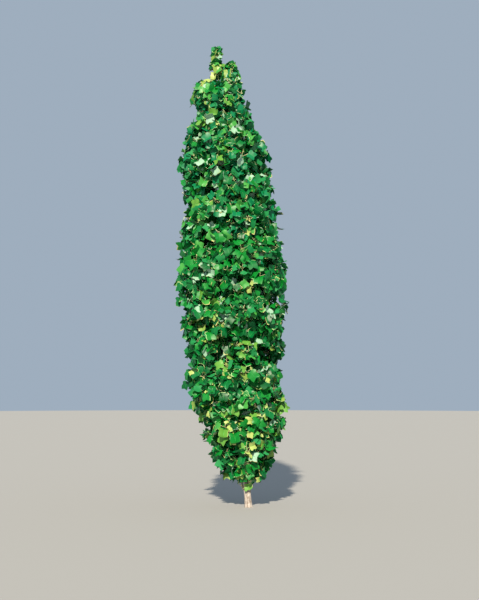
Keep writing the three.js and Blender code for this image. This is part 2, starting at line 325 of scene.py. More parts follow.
limbs = {
    "trunkRadius": 0.047,
    "trunkTop": 5.95,
    "trunkTopRadius": 0.009,
    "flareRadius": 0.011,
    "flareHeight": 0.05,
    "flareRidges": 5,
    "flareRidge": 0.25,  # their height, against the flare
    "trunkTaper": 0.85,
    "boughShare": 0.45,  # of the trunk's radius where a bough leaves it
    "boughTaper": 0.5,  # a bough's tip against its root
    "boughRise": 0.33,  # from where it leaves the trunk up to its tip
    "boughBend": 0.45,
    "boughLevel": 0.4,
    "collar": (0.4, 7),  # swelling at its root, against its radius, and how fast it goes
    "stemTop": 0.9,  # of the way up its space
    "stemBend": 0.45,
    "stemLean": 0.6,  # how far a side stem leans out, against up
    "stemTipRadius": 0.004,
    "lowestFoot": 0.29,
    "lowestRoot": 0.15,
}

massRule = {
    "spacing": 0.19,  # rise from one mass to the next at the crown's widest
    "lowest": 0.47,
    "highest": 5.6,
    "firstBearing": 160,
    "goldenTurn": -137.5,  # clockwise, seen from above
    "out": 0.52,  # of the crown's reach, as the girth
    "girth": 0.62,
    "half": 0.7,  # half of its height
    "footDrop": 0.43,  # from its middle to the bough's tip, at most
    "footRoom": 0.8,  # of the room below
    "limbZone": 0.27,  # of the crown's reach, left to the limbs
    "footShare": 0.32,  # of the crown's reach, where a bough's tip stands
    "leaderFoot": 0.3,  # from its middle to where its stem leaves the leader
    "leaderRound": 2.4,  # an egg, a little squared
    "aspect": 2.1,  # how much taller than wide its space is
    "margin": 0.004,
    "step": 0.008,  # for measuring that space
    "twigs": 6,
    "twigsFrom": 0.1,  # of the stem
    "twigsOver": 0.88,
    "twigSpread": 220,  # degrees that they fan out over, away from the trunk
    "twigStray": 20,
    "twigRise": (-0.5, 0.4, 1.6),  # at the stem's foot, by chance, and more up the stem
    "twigMargin": 0.45,  # of a leaf, left up to the space's limit
    "twigLeast": 0.5,  # of the way to it
    "twigShortest": 0.05,
    "sprayLeaf": 0.345,  # the source's large leaf, smaller in a slimmer mass
    "fullGirth": 0.3,
}

# The last three are of its leaves: how far out they stand at the top and at the foot, in shares of
# the girth, their size against others, and the height that none passes.
leaderParts = ("name", "middle", "half", "bearing", "out", "girth", "leafyShare", "leafScale", "leafyTop")
leaders = [
    ("left_shoulder", 5.74, 0.33, 195, 0.19, 0.19, (0.75, 1.05), 1.1, 5.97),
    ("second_tip", 5.8, 0.48, 345, 0.19, 0.2, (0.42, 1.0), 0.95, 6.27),
    ("leading_shoot", 6.215, 0.3, 90, 0, 0.12, (0.3, 1.2), 0.95, 6.49),
]


def seededNumbers(seed):
    # the source's own run of numbers from 0 to 1
    state = seed

    def draw():
        nonlocal state
        state = (state * 1664525 + 1013904223) % 4294967296
        return state / 4294967296

    return draw


def crownAxis(z):
    z = np.asarray(z, float)
    share = z / crown["height"]
    x = -crown["lean"] * share - crown["bow"] * np.sin(np.pi * share)
    return np.stack([x, np.zeros_like(z), z], axis=-1)


def crownReach(z):
    below = np.clip((crown["widest"] - z) / (crown["widest"] - crown["foot"]), 0, 1)
    above = np.clip((z - crown["widest"]) / (crown["height"] - crown["widest"]), 0, 1)
    blunt, drawnIn = crown["footRound"]
    slim, drawnOut = crown["tipRound"]
    return crown["radius"] * (1 - below**blunt) ** drawnIn * (1 - above**slim) ** drawnOut


def polar(bearing):
    turn = math.radians(bearing)
    return np.array([math.cos(turn), math.sin(turn), 0.0])


def massesOnBoughs():
    found = []
    height = massRule["lowest"]
    while height < massRule["highest"]:
        reach = float(crownReach(height))
        outward = polar(massRule["firstBearing"] + massRule["goldenTurn"] * len(found))
        middle = crownAxis(height) + massRule["out"] * reach * outward
        mass = {"name": f"{len(found) + 1:02d}", "middle": middle, "outward": outward, "bough": True}
        mass.update(girth=massRule["girth"] * reach, half=massRule["half"], out=None)
        found.append({**mass, "leafScale": 1, "leafyTop": crown["height"]})
        height += massRule["spacing"] * math.sqrt(crown["radius"] / reach)
    return found


def massesOnLeader():
    found = []
    for parts in leaders:
        tip = dict(zip(leaderParts, parts))
        outward = polar(tip["bearing"])
        middle = crownAxis(tip["middle"]) + tip["out"] * outward
        found.append({**tip, "middle": middle, "outward": outward, "bough": False})
    return found


masses = massesOnBoughs() + massesOnLeader()
firstLeader = len(masses) - len(leaders)


def wallsOf(mass):
    # flat walls halfway to every other mass, shifted towards the slimmer one
    squash = np.array([1, 1, 1 / massRule["aspect"]])
    mine = mass["middle"] * squash
    normals, offsets = [], []
    for other in masses:
        if other is mass:
            continue
        theirs = other["middle"] * squash
        weight = mass["girth"] ** 2 - other["girth"] ** 2
        offset = (theirs @ theirs - mine @ mine + weight) / 2
        normal = (theirs - mine) * squash
        length = np.linalg.norm(normal)
        normals.append(normal / length)
        offsets.append(offset / length)
    return np.array(normals), np.array(offsets)


def fromLeader(mass, points):
    # how far out points are in a leader's mass, which leans as the crown does
    across = points - mass["middle"] + crownAxis(mass["middle"][2]) - crownAxis(points[:, 2])
    return np.hypot(*across[:, :2].T)


def inSpace(mass, points):
    # whether points are within the mass's own share of the crown
    rise = np.abs(points[:, 2] - mass["middle"][2]) / mass["half"]
    if mass["bough"]:
        across = (points - crownAxis(points[:, 2]))[:, :2]
        share = np.hypot(*across.T) / np.maximum(crownReach(points[:, 2]), tiny)
        inside = (share <= 1) & (share >= massRule["limbZone"]) & (rise <= 1)
    else:
        share = fromLeader(mass, points) / mass["girth"]
        inside = share**2 + rise ** massRule["leaderRound"] <= 1
    normals, offsets = mass["walls"]
    return inside & ((offsets - points @ normals.T) > massRule["margin"]).all(axis=1)


def reachFrom(mass, start, direction):
    step = massRule["step"]
    steps = np.arange(1, int(2 * mass["half"] / step) + 1)
    inside = inSpace(mass, start + np.outer(steps * step, direction))
    return step * (len(steps) if inside.all() else int(np.argmin(inside)))


def footOf(mass):
    if mass["out"] == 0:
        return crownAxis(limbs["trunkTop"])
    if not mass["bough"]:
        return crownAxis(mass["middle"][2] - massRule["leaderFoot"])
    room = reachFrom(mass, mass["middle"], -up)
    drop = min(massRule["footDrop"], massRule["footRoom"] * room)
    height = max(mass["middle"][2] - drop, limbs["lowestFoot"])
    return crownAxis(height) + massRule["footShare"] * crownReach(height) * mass["outward"]


for mass in masses:
    mass["walls"] = wallsOf(mass)
    mass["leaf"] = massRule["sprayLeaf"] * min(1, mass["girth"] / massRule["fullGirth"])
    mass["foot"] = footOf(mass)


def trunkRadiusAt(z):
    taper = (1 - np.clip(z / limbs["trunkTop"], 0, 1)) ** limbs["trunkTaper"]
    return limbs["trunkTopRadius"] + (limbs["trunkRadius"] - limbs["trunkTopRadius"]) * taper


def boughCurve(mass):
    # it leaves the trunk at a wide angle and climbs to its mass
    root = crownAxis(max(mass["foot"][2] - limbs["boughRise"], limbs["lowestRoot"]))
    bend = root + limbs["boughBend"] * (mass["foot"] - root)
    level = np.array([mass["foot"][0], mass["foot"][1], bend[2]])
    return root, bend + limbs["boughLevel"] * (level - bend), mass["foot"]


def boughRadius(mass):
    return limbs["boughShare"] * trunkRadiusAt(boughCurve(mass)[0][2])


def stemCurve(mass):
    if mass["bough"]:
        root, bend, foot = boughCurve(mass)
        ahead = unit(foot - bend)
    elif mass["out"] > 0:
        ahead = unit(limbs["stemLean"] * mass["outward"] + up)
    else:
        ahead = unit(crownAxis(limbs["trunkTop"] + 0.01) - crownAxis(limbs["trunkTop"]))
    top = mass["middle"][2] + limbs["stemTop"] * reachFrom(mass, mass["middle"], up)
    end = mass["middle"] + crownAxis(top) - crownAxis(mass["middle"][2])
    bend = mass["foot"] + ahead * limbs["stemBend"] * (top - mass["foot"][2])
    return mass["foot"], bend, end


def turned(vector, degrees):
    cos, sin, _ = polar(degrees)
    x, y, z = vector
    return np.array([x * cos - y * sin, x * sin + y * cos, z])


def twigsOf(mass, index):
    # they stand out from the stem by turns and leave room for a leaf
    random = seededNumbers(7919 * (index + 1))  # the source's seed for this mass
    stem = stemCurve(mass)
    atFoot, chance, upStem = massRule["twigRise"]
    twigs = []
    for i in range(massRule["twigs"]):
        along = massRule["twigsFrom"] + massRule["twigsOver"] * (i + 0.5) / massRule["twigs"]
        fan = ((i + index) * goldenShare) % 1
        turn = massRule["twigSpread"] * (fan - 0.5) + massRule["twigStray"] * (random() - 0.5)
        rise = atFoot + chance * random() + upStem * along
        start = bezier(*stem, along)
        direction = unit(turned(mass["outward"], turn) + rise * up)
        reach = reachFrom(mass, start, direction)
        room = reach - massRule["twigMargin"] * mass["leaf"]
        length = max(room, massRule["twigLeast"] * reach)
        if length > massRule["twigShortest"]:
            twigs.append((start, direction, length))
    return twigs


print("masses:", len(masses))


# Trunk and boughs, with the bark's relief

bark = {
    "around": 60,
    "boughGrid": (26, 14),  # rings along and sides round
    "ridge": 0.0013,  # height of the bark's ridges at the foot
    "ridgesRound": 19,
    "ridgeFade": 1.5,  # how fast they fade on thinner wood
    "wander": 0.9,  # radians that a ridge strays as it climbs
    "split": 0.3,  # how much of a ridge splits
    "knobs": 0.25,
    "seed": 0.4,
    "boughRidge": 0.05,  # against a bough's radius
    "boughWaves": (9, 5),  # along a bough and round it
    "fineRings": 0.006,  # metres between rings where the bark shows
    "coarseRings": 0.022,
    "fineTo": 0.6,
}


def relief(turn, z):
    # upright ridges that wander and split, and knobs, from waves that never fall into step
    seed = bark["seed"]
    stray = bark["wander"] * (np.sin(5.1 * z + seed) + 0.5 * np.sin(13.7 * z + 2 * seed + turn))
    broad = np.sin(bark["ridgesRound"] * turn + stray * 3)
    split = np.sin(bark["ridgesRound"] * 0.5 * turn - 31 * z + seed)
    knobs = np.sin(57 * z + 3 * turn + seed) * np.sin(7 * turn - 23 * z)
    return broad * (1 - bark["split"] + bark["split"] * split) + bark["knobs"] * knobs


def barkTrunk():
    fine = np.arange(0, bark["fineTo"], bark["fineRings"])
    coarse = np.arange(bark["fineTo"], limbs["trunkTop"], bark["coarseRings"])
    heights = np.concatenate([fine, coarse, [limbs["trunkTop"]]])
    n = bark["around"]
    turn = 2 * np.pi * np.arange(n) / n
    z, angle = np.meshgrid(heights, turn, indexing="ij")
    flare = limbs["flareRadius"] * np.exp(-z / limbs["flareHeight"])
    radius = trunkRadiusAt(z) + flare * (1 + limbs["flareRidge"] * np.cos(limbs["flareRidges"] * angle))
    thickness = trunkRadiusAt(z) / limbs["trunkRadius"]
    radius += bark["ridge"] * thickness ** bark["ridgeFade"] * relief(angle, z)
    outward = [radius * np.cos(angle), radius * np.sin(angle), np.zeros_like(z)]
    points = crownAxis(z) + np.stack(outward, axis=-1)
    a, b, last = np.arange(n), (np.arange(n) + 1) % n, n * (len(heights) - 1)
    faces = []
    for ring in range(0, last, n):
        faces += [ring + np.stack([a, b, a + n], 1), ring + np.stack([b, b + n, a + n], 1)]
    faces.append(np.stack([b, a, np.full(n, last + n)], 1))
    faces.append(np.stack([a + last, b + last, np.full(n, last + n + 1)], 1))
    ends = np.stack([crownAxis(0.0), crownAxis(limbs["trunkTop"])])
    return np.concatenate([points.reshape(-1, 3), ends]), np.concatenate(faces)


def barkBoughs():
    rings, sides = bark["boughGrid"]
    t = np.linspace(0, 1, rings)
    onBoughs = [m for m in masses if m["bough"]]
    paths = np.stack([bezier(*boughCurve(m), t) for m in onBoughs])
    thick = np.array([boughRadius(m) for m in onBoughs])[:, None]
    swelling, fade = limbs["collar"]
    radii = thick * (1 + (limbs["boughTaper"] - 1) * t) + swelling * thick * np.exp(-fade * t)
    facing = np.stack([m["outward"] for m in onBoughs])
    points, faces = tubes(paths, radii, sides, unit(facing + 0.01 * up))
    upBough, roundBough = bark["boughWaves"]
    ridges = np.sin(upBough * t[:, None] + roundBough * np.arange(sides))
    middles = paths[:, :, None]
    swell = (1 + bark["boughRidge"] * ridges)[..., None]
    grid = middles + (points.reshape(-1, rings, sides, 3) - middles) * swell
    return grid.reshape(-1, 3), faces


trunk = makePiece("trunk_with_bark", *barkTrunk(), [trunkMaterial], sharpAngle=60)
boughs = makePiece("boughs_with_bark", *barkBoughs(), [trunkMaterial], sharpAngle=60)
print("bark:", len(trunk.data.polygons) + len(boughs.data.polygons), "faces")


# Stems, twigs and side shoots

growth = {
    "seed": 41,
    "tipSpacing": 0.115,  # between the tips of side shoots
    "heightCounts": 0.8,  # they stand closer one above the other
    "tries": 5000,
    "tryWidth": 1.9,  # against the mass's girth
    "shell": (0.5, 0.86),  # where they stand, of the outline
    "shellFade": 0.35,  # how softly it ends on the inside
    "stemGrid": (14, 8),
    "twigGrid": (8, 6),
    "shootGrid": (6, 4),
    "twigRadius": (0.0055, 0.003),
    "shootRadius": (0.0038, 0.0022),
    "twigSag": 0.06,  # of its length, where it bends
    # where a side shoot may start: from which share on, metres between, at least how many
    "nodes": {"stem": (0.12, 0.06, 3), "twig": (0.3, 0.06, 3), "shoot": (0.4, 0.08, 2)},
    "climb": 0.04,  # it starts this far under its tip where it can
    "climbCost": 0.8,
    "bendOut": 0.55,  # where it bends, of its span
    "bendUp": 0.35,
    "bendStray": 0.02,
    "shortest": 0.03,
    "endsUnder": 0.04,  # how far under the topmost leaves the wood ends
    # share without leaves, on a leader and on a bough
    "bare": {"stem": (0.2, 0.7), "twig": (0.3, 0.5), "shoot": (0.15, 0.15)},
}

footShoots = {  # on the trunk itself, under the lowest boughs
    "count": 14,
    "heights": (0.265, 0.5),
    "length": (0.1, 0.17),
    "rise": (0.15, 0.5),  # least and chance
    "bearing": 200,
    "seat": 0.8,  # of the trunk's radius
    "bare": 0.2,
}

outline = {
    "share": 0.912,  # of the crown's reach, where the leaves end
    "depth": 0.95,  # from front to back, against side to side
    "wave": 0.05,  # it swells and narrows as it climbs
    "wavePitch": 1.9,
    # and at these heights: share wider, metres to the right, over how far
    "swells": [
        (6.12, -0.6, 0.0, 0.14),
        (5.78, 0.3, 0.025, 0.12),
        (5.46, -0.24, 0.065, 0.13),
        (4.8, 0.12, 0.01, 0.16),
        (4.26, -0.05, 0.035, 0.13),
        (3.97, 0.01, -0.02, 0.1),
        (3.69, -0.15, -0.045, 0.1),
        (3.13, 0.08, -0.07, 0.1),
        (2.84, -0.05, -0.08, 0.1),
        (2.56, 0.08, -0.03, 0.12),
        (2.0, -0.14, -0.035, 0.14),
        (1.5, 0.0, -0.01, 0.13),
        (1.24, -0.1, 0.075, 0.19),
    ],
    "sway": 0.055,  # from side to side
    "swayFrom": 0.3,
    "swayPitch": 5.0,
}


def leafAxis(z):
    # the middle of the leaves, which strays from the crown's own
    axis = crownAxis(z)
    axis[..., 0] -= outline["sway"] * np.sin(2 * np.pi * (z - outline["swayFrom"]) / outline["swayPitch"])
    for height, _, across, over in outline["swells"]:
        axis[..., 0] += across * np.exp(-(((z - height) / over) ** 2))
    return axis


def leafReach(z):
    wave = 1 + outline["wave"] * np.cos(2 * np.pi * (z - crown["widest"]) / outline["wavePitch"])
    for height, wider, _, over in outline["swells"]:
        wave = wave + wider * np.exp(-(((z - height) / over) ** 2))
    return outline["share"] * crownReach(z) * wave


def outlineShare(mass, points):
    # 1 at the outline of the leaves, and less inside it
    if mass["bough"]:
        away = points - leafAxis(points[:, 2])
        return np.hypot(*away[:, :2].T) / np.maximum(leafReach(points[:, 2]), tiny)
    rise = np.abs(points[:, 2] - mass["middle"][2]) / mass["half"]
    across = fromLeader(mass, points) ** 2 / mass["girth"] ** 2
    return np.sqrt(across + rise ** massRule["leaderRound"])


def leaderSpace(mass, z):
    # the middle of a leader's leaves at each height, and how far out they stand
    rise = np.clip((z - mass["middle"][2]) / mass["half"], -1, 1)
    centre = mass["middle"] + crownAxis(z) - crownAxis(mass["middle"][2])
    atTop, atFoot = mass["leafyShare"]
    share = atFoot + (atTop - atFoot) * (rise + 1) / 2
    return centre, share * mass["girth"] * np.sqrt(1 - np.abs(rise) ** massRule["leaderRound"])


def spacedTips(mass, rng):
    # places for the tips of side shoots, evenly apart in the outer part of the space
    wide = growth["tryWidth"] * mass["girth"]
    box = np.array([wide, wide, mass["half"]])
    tries = mass["middle"] + (2 * rng.random((growth["tries"], 3)) - 1) * box
    tries = tries[inSpace(mass, tries)]
    share = outlineShare(mass, tries)
    low, high = growth["shell"]
    tries = tries[(share < high) & (share > low * rng.random(len(share)) ** growth["shellFade"])]
    kept = np.empty((0, 3))
    for point in tries:
        gaps = (kept - point) * np.array([1, 1, growth["heightCounts"]])
        if not len(kept) or (gaps**2).sum(1).min() > growth["tipSpacing"] ** 2:
            kept = np.vstack([kept, point])
    return kept


def loweredTo(top, curve):
    # the same curve, but with no end that stands bare over the leaves
    start, bend, end = curve
    return start, bend, end - up * max(0.0, end[2] - top)


def nodesOn(kind, curve, span):
    first, step, fewest = growth["nodes"][kind]
    return bezier(*curve, np.linspace(first, 1, max(fewest, int(span / step))))


def growMass(mass, index):
    # a stem, its twigs, and side shoots that start from the nearest wood below
    rng = np.random.default_rng(growth["seed"] + index)
    stem = stemCurve(mass)
    nodes = [nodesOn("stem", stem, np.linalg.norm(stem[2] - stem[0]))]
    twigs = []
    for start, direction, length in twigsOf(mass, index):
        end = start + direction * length
        bend = start + direction * 0.5 * length - up * growth["twigSag"] * length
        twigs.append((start, bend, end))
        nodes.append(nodesOn("twig", twigs[-1], length))
    nodes = np.concatenate(nodes)
    shoots = []
    if mass["out"] != 0:
        tips = spacedTips(mass, rng)
        nearest = np.linalg.norm(tips[:, None] - nodes[None], axis=2).min(1)
        for tip in tips[np.argsort(nearest)]:
            gap = np.linalg.norm(nodes - tip, axis=1)
            tooHigh = np.maximum(0, nodes[:, 2] - tip[2] + growth["climb"])
            start = nodes[np.argmin(gap + growth["climbCost"] * tooHigh)]
            span = np.linalg.norm(tip - start)
            if span < growth["shortest"]:
                continue
            away = (tip - start) * np.array([1, 1, growth["bendUp"]])
            bend = start + growth["bendOut"] * away + up * growth["bendStray"] * rng.random()
            shoots.append((start, bend, tip))
            nodes = np.vstack([nodes, nodesOn("shoot", shoots[-1], span)])
    top = mass["leafyTop"] - growth["endsUnder"]
    stem, *twigs = [loweredTo(top, curve) for curve in [stem, *twigs]]
    return stem, twigs, [loweredTo(top, curve) for curve in shoots]


def shootsOnTrunk():
    found = []
    random = seededNumbers(growth["seed"])
    low, high = footShoots["heights"]
    short, long = footShoots["length"]
    least, chance = footShoots["rise"]
    for i in range(footShoots["count"]):
        z = low + (high - low) * (i + 0.5) / footShoots["count"]
        outward = polar(footShoots["bearing"] + massRule["goldenTurn"] * i)
        length = short + (long - short) * random()
        start = crownAxis(z) + footShoots["seat"] * trunkRadiusAt(z) * outward
        end = start + length * unit(outward + (least + chance * random()) * up)
        found.append((start, start + 0.5 * length * outward, end))
    return found


def growTree():
    grown = {"stems": [], "stemRadii": [], "twigs": [], "greenTwigs": [], "shoots": []}
    sprays = []  # curves, the share of each that is bare, and the number of its mass
    for index, mass in enumerate(masses):
        stem, twigs, shoots = growMass(mass, index)
        thick = limbs["boughTaper"] * boughRadius(mass) if mass["bough"] else limbs["trunkTopRadius"]
        grown["stems"].append(stem)
        grown["stemRadii"].append(thick)
        grown["twigs" if mass["bough"] else "greenTwigs"] += twigs
        grown["shoots"] += shoots
        for kind, curves in (("stem", [stem]), ("twig", twigs), ("shoot", shoots)):
            bare = growth["bare"][kind][mass["bough"]]
            sprays += [(curve, bare, index) for curve in curves]
    low = shootsOnTrunk()
    grown["shoots"] += low
    sprays += [(curve, footShoots["bare"], 0) for curve in low]
    return grown, sprays


grown, sprays = growTree()
print("stems:", len(grown["stems"]), "twigs:", len(grown["twigs"]), "side shoots:", len(grown["shoots"]))


def tapered(curves, grid, thick, thin):
    rings, sides = grid
    t = np.linspace(0, 1, rings)
    paths = np.stack([bezier(*curve, t) for curve in curves])
    radii = np.asarray(thick).reshape(-1, 1) * (1 - t) + thin * t
    aslant = up + np.array([0.31, 0.17, 0])  # no shoot runs this way
    facing = unit(np.cross(paths[:, -1] - paths[:, 0], aslant))
    return tubes(paths, radii * np.ones((len(paths), 1)), sides, facing)


def stemTubes(some):
    thick = grown["stemRadii"][some]
    return tapered(grown["stems"][some], growth["stemGrid"], thick, limbs["stemTipRadius"])


def twigTubes(kind):
    return tapered(grown[kind], growth["twigGrid"], *growth["twigRadius"])


shootTubes = tapered(grown["shoots"], growth["shootGrid"], *growth["shootRadius"])
brownWood = joined([stemTubes(slice(firstLeader)), twigTubes("twigs")])
greenWood = joined([stemTubes(slice(firstLeader, None)), twigTubes("greenTwigs"), shootTubes])
woodPiece = makePiece("stems_and_twigs", *brownWood, [twigMaterial])
shootPiece = makePiece("side_shoots_and_leaders", *greenWood, [shootMaterial])


# Leaves

leaf = {
    "seed": 5,
    "length": 0.108,  # blade of a full leaf
    "spread": 0.3,  # how much lengths vary
    "youngest": 0.5,  # a spray's last leaf, against the others
    "stalk": 0.65,  # against the blade, then least and chance
    "stalkRange": (0.6, 0.6),
    "stalkRadius": 0.0033,
    "stalkTaper": (1.2, 0.95, 0.85),  # at the wood, in the middle and at the blade
    "stalkBow": (0.1, 0.06),  # outward and down
    "stalkEnd": 0.03,  # within the blade
    "leaderStalks": 0.6,  # so much thicker on the leaders
    "thickness": 0.0012,
    "belly": 0.035,  # how far the underside's middle hangs clear, in lengths
    "gap": 0.019,  # between leaves along a side shoot
    "most": 14,  # leaves of a spray
    "fewest": 6,
    "leadingGap": 0.75,  # on the leading shoot, against the others
    "leadingMost": 3,
    "leadingTip": 0.97,
    "lowest": 0.205,  # no blade hangs lower at the trunk
    "skirt": 0.66,  # and this much higher for each metre away from it
    "drawnIn": 0.2,  # to the outline, at most, and by which place along it
    "drawnAt": 0.7,
    "bulge": 0.05,  # how much the outline varies from spray to spray
    "margin": 0.105,  # of the way to the middle, how wide a coloured rim is
    "marginColours": (0.54, 0.28, 0.18),  # leaves with a plain, pale or gold stretch
    "marginRun": (2, 7),  # 2 to 6 of the rim's 16 steps
    "turnedOver": (0.055, 0.065),  # by the wind, at two heights
    "turnedAt": (1.6, 3.0),
    "light": 0.85,  # from above, against from outside
    "spin": (0.25, 0.5),  # how far a leaf turns with its rosette, on a bough and on a leader
    "leaderSpin": 0.05,
    "stalkLean": (0.7, 0.5, 0.3),  # out in the rosette, to the light and along the wood
    "bladeLean": (0.9, 0.35, 0.3),  # out in the rosette, along the stalk and by chance
    "sag": 0.4,  # a blade's pull to the ground, then least and chance
    "sagRange": (0.2, 1.6),
    "leaderSag": 0.2,  # less on a leader
    "tilt": (0.9, 0.4),  # how far leaves stray from facing the light, on both
    "fold": (0.05, 1.1),  # how far the halves lift from the rib, least and most
    "droop": (0.1, 0.85),  # how far the tip sinks
    "cup": (0.1, 0.8),  # how far the rim sinks at the sides
    "ripple": 0.03,  # of the rim, and how much of it runs inward
    "innerRipple": 0.8,
}

# Right half of the blade, to the side and along, in shares of its length: a broad base, a low and a
# high lobe with blunt tips, and a shallow notch.
rightRim = np.array(
    [(0.23, -0.05), (0.47, 0.02), (0.58, 0.21), (0.44, 0.42), (0.5, 0.67), (0.45, 0.93), (0.2, 0.88)]
)
base, notch = (0.0, 0.0), (0.0, 0.79)
rimSize = 2 * len(rightRim) + 2
sinus = 4  # the rim's point between the two lobes of its side
ribHalf = 0.48  # faces whose rim is lower than this end at the rib's lower point
heart, halfHeart = np.array([0.0, 0.42]), np.array([0.12, 0.42])  # middles of the blade and of a half
midrib = np.array([(0.015, 0.30), (0.011, 0.60)])  # right side of the rib
mirror = np.array([-1, 1])


def leafTemplate():
    # Places on the blade: the rim, the margin's inner edge and the rib. Then the upper side's faces and
    # what they are, and the underside's, a fan round a point under the heart.
    inward = 1 - leaf["margin"]
    rim = np.concatenate([[base], rightRim, [notch], rightRim[::-1] * mirror])
    sides = np.sign(rim[:, :1])
    hearts = np.where(sides != 0, halfHeart * np.hstack([sides, np.ones_like(sides)]), heart)
    inset = hearts + inward * (rim - hearts)
    places = np.concatenate([rim, inset, midrib, midrib * mirror, [heart]])
    n = rimSize
    low, high, lowLeft, highLeft, under = 2 * n + np.arange(5)
    top = n // 2
    ahead = [(i, (i + 1) % n) for i in range(n)]
    margin = [face for a, b in ahead for face in ((a, b, n + b), (a, n + b, n + a))]
    flesh = []
    for first, second, steps in ((low, high, range(top)), (lowLeft, highLeft, range(top, n))):
        for i in steps:
            a, b = n + i, n + (i + 1) % n
            nearBase = places[a][1] + places[b][1] < 2 * ribHalf
            flesh.append((a, b, first if nearBase else second))
        waist = n + (sinus if first == low else n - sinus)
        flesh.append((first, waist, second) if first == low else (first, second, waist))
    rib = [(n, low, lowLeft), (low, high, highLeft), (low, highLeft, lowLeft), (high, n + top, highLeft)]
    upper = margin + flesh + rib
    kinds = np.repeat([0, 1, 2], [len(margin), len(flesh), len(rib)])
    lower = [(b, a, under) for a, b in ahead]
    return places, np.array(upper), kinds, np.array(lower)


def leafSeats(rng):
    # along each spray, where its leaves sit and which way the wood runs there
    near = 0.02
    seats = []
    for number, (curve, bare, owner) in enumerate(sprays):
        length = np.linalg.norm(curve[2] - curve[0])
        leafy = (1 - bare) * length
        leading = masses[owner]["out"] == 0
        gap = leaf["gap"] * (leaf["leadingGap"] if leading else 1)
        most = leaf["most"] * (leaf["leadingMost"] if leading else 1)
        count = int(np.clip(round(leafy / gap) + 1, leaf["fewest"], most))
        spin = rng.random() * 2 * np.pi
        reach = min(1 - bare, (count - 1) * gap / max(length, 0.05))
        tip = leaf["leadingTip"] if leading else 1
        for i in range(count):
            t = tip - reach * i / max(count - 1, 1)
            ahead = bezier(*curve, t + near) - bezier(*curve, t - near)
            seats.append((bezier(*curve, t), ahead, spin + i * goldenAngle, number, i == 0, owner))
    names = ("place", "ahead", "turn", "spray", "last", "owner")
    return {name: np.array(values) for name, values in zip(names, zip(*seats))}


def placeLeaves():
    # each spray is a rosette that faces the light, out of the crown
    rng = np.random.default_rng(leaf["seed"])
    seats = leafSeats(rng)
    count = len(seats["place"])
    place, ahead, owner = seats["place"], unit(seats["ahead"]), seats["owner"]

    def ofMass(name):
        return np.array([m[name] for m in masses])[owner]

    onBough = ofMass("bough")
    spinOut = np.stack([np.cos(seats["turn"]), np.sin(seats["turn"]), np.zeros(count)], axis=1)
    outward = place - leafAxis(place[:, 2])
    onLeaders = [(mass, owner == index) for index, mass in enumerate(masses) if not mass["bough"]]
    for mass, mine in onLeaders:
        # these face away from their leader's own middle
        middle = leaderSpace(mass, place[mine, 2])[0]
        outward[mine] = place[mine] - middle + leaf["leaderSpin"] * spinOut[mine]
    outward[:, 2] = 0
    outward = unit(unit(outward) + np.where(onBough, *leaf["spin"])[:, None] * spinOut)
    light = unit(outward + leaf["light"] * up)
    side = unit(np.cross(up, light))
    rise = np.cross(light, side)
    fan = side * np.cos(seats["turn"])[:, None] + rise * np.sin(seats["turn"])[:, None]
    length = leaf["length"] * (1 + leaf["spread"] * (2 * rng.random(count) - 1))
    length *= np.where(seats["last"], leaf["youngest"], 1.0)
    length *= ofMass("leafScale")
    out, toLight, along = leaf["stalkLean"]
    stalk = unit(out * fan + toLight * light + along * ahead)
    least, chance = leaf["stalkRange"]
    stalkLength = leaf["stalk"] * length * (least + chance * rng.random(count))
    base = place + stalk * stalkLength[:, None]
    least, chance = leaf["sagRange"]
    sag = leaf["sag"] * (least + chance * rng.random(count)) - np.where(onBough, 0, leaf["leaderSag"])
    out, along, chance = leaf["bladeLean"]
    blade = unit(out * fan + along * stalk - sag[:, None] * up + chance * rng.normal(size=(count, 3)))
    facing = light + np.where(onBough, *leaf["tilt"])[:, None] * rng.normal(size=(count, 3))
    normal = unit(facing - (facing * blade).sum(1, keepdims=True) * blade)

    # a leaf that would stand out of the crown or its leader is drawn in
    far = base + blade * (leaf["drawnAt"] * length)[:, None]
    bulge = 1 + leaf["bulge"] * rng.normal(size=len(sprays))[seats["spray"]]
    centre, reach = leafAxis(far[:, 2]), leafReach(far[:, 2]) * bulge
    for mass, mine in onLeaders:
        centre[mine], reach[mine] = leaderSpace(mass, far[mine, 2])
    away = (far - centre) * np.array([1, 1, 0])
    distance = np.maximum(np.hypot(away[:, 0], away[:, 1] / outline["depth"]), tiny)
    excess = np.clip(distance - reach, 0, leaf["drawnIn"])
    base -= away * (excess / distance)[:, None]

    # and one that would hang too low or stand too high is left out
    tipEnd = base + blade * length[:, None]
    low, high = np.minimum(base[:, 2], tipEnd[:, 2]), np.maximum(base[:, 2], tipEnd[:, 2])
    fromTrunk = np.hypot(*(tipEnd - crownAxis(low))[:, :2].T)
    kept = (low > leaf["lowest"] + leaf["skirt"] * fromTrunk) & (high < ofMass("leafyTop"))
    flipped = rng.random(count) < np.interp(base[:, 2], leaf["turnedAt"], leaf["turnedOver"])
    leaves = {**seats, "base": base, "blade": blade, "normal": normal, "length": length, "stalk": stalk}
    return {key: value[kept] for key, value in {**leaves, "flipped": flipped}.items()}


